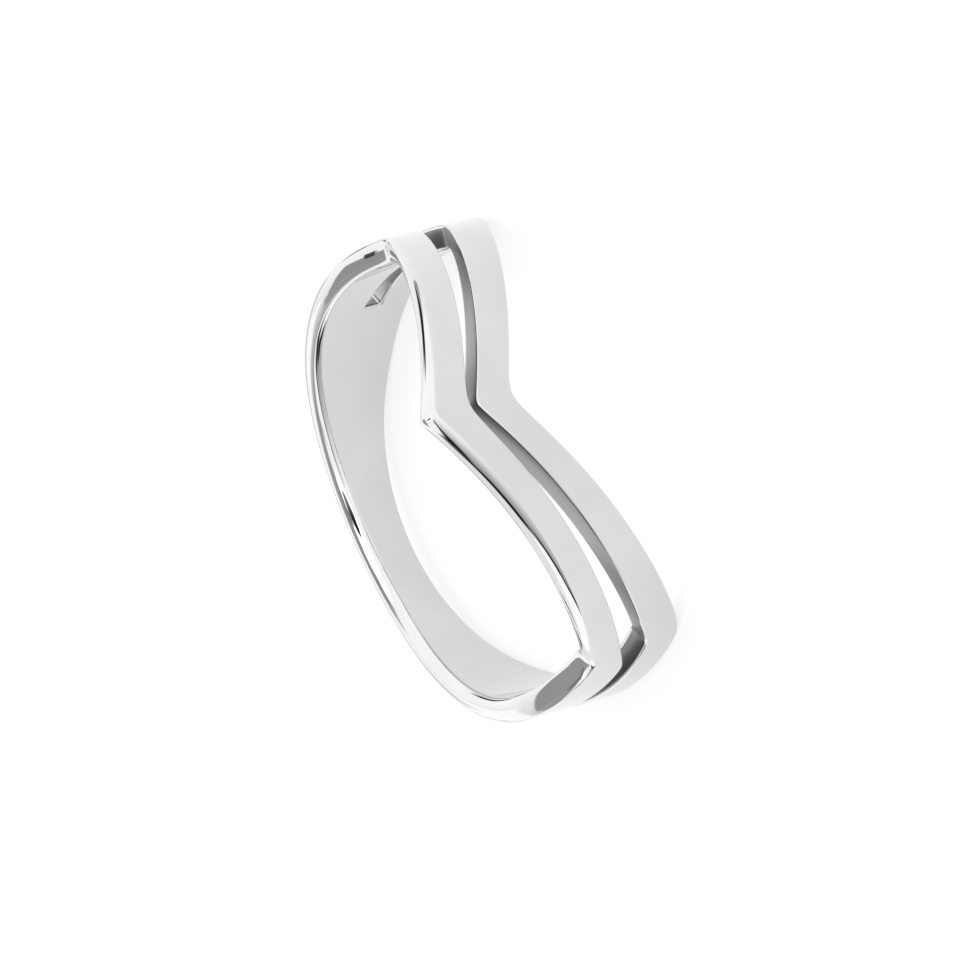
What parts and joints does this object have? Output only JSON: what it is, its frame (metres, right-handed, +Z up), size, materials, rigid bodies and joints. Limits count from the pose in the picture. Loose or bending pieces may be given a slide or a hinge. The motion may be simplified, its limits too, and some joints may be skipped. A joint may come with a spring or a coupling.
{
  "type": "tiara ring",
  "caption": "Chevron finger ring in polished silver: parallel V bands in front with a slot between them, joined to one plain band behind.",
  "frame": {"origin": "on the surface the ring lies on, under the middle of its bounding box", "axes": "+Z up, away from that surface; -Y towards the V point; X across the ring, which is its own mirror image in X. The ring's own axis leans 11.9 degrees from +Z, its upper end towards -Y"},
  "size_m": [0.0194, 0.022, 0.0124],
  "materials": {
    "polished_silver": "mirror polished"
  },
  "bodies": {
    "root": {"ring": "polished_silver"}
  },
  "joints": []
}
